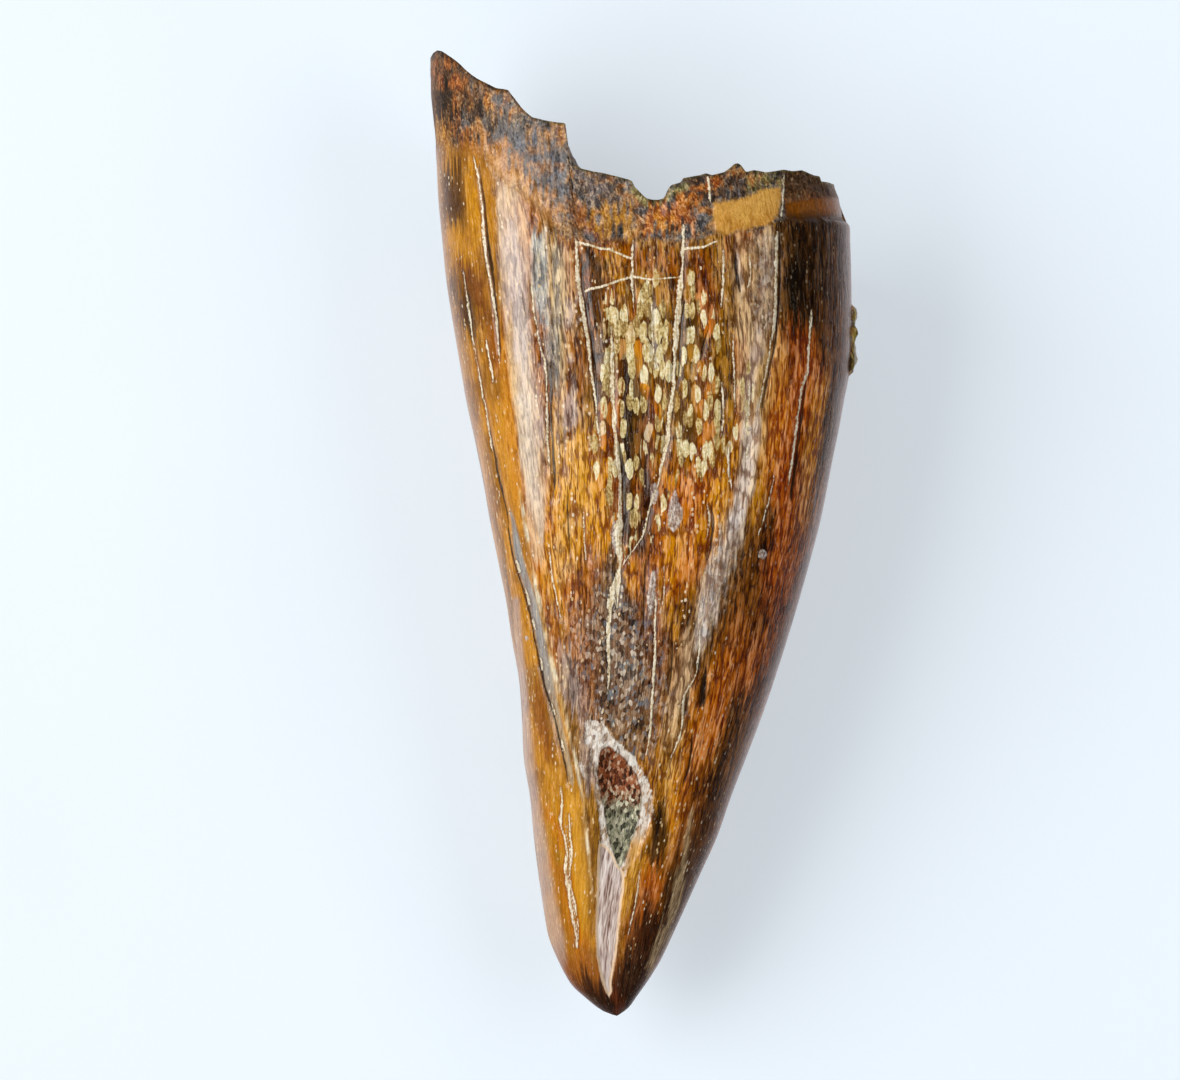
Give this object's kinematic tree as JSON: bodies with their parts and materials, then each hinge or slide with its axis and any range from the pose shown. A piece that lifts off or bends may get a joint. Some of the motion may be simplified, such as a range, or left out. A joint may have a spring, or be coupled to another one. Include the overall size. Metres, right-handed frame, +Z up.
{
  "type": "fossil theropod tooth crown",
  "caption": "Fossil tyrannosaurid tooth crown lying on its side, a tapered oval cone with keels, a teardrop spall above the tip and a jagged broken base.",
  "frame": {"origin": "on the surface the tooth lies on, under the centre of its outline", "axes": "+Y towards the broken base with the tip at -Y, +X towards the edge with the long keel, +Z up out of the face that shows"},
  "size_m": [0.0138, 0.0314, 0.01],
  "materials": {
    "fossil_enamel": "polished brown-orange fossil enamel with fine lengthwise streaks, cream flakes and pale cracks; bare granular dentine at the broken base"
  },
  "bodies": {
    "root": {"tooth": "fossil_enamel"}
  },
  "joints": []
}
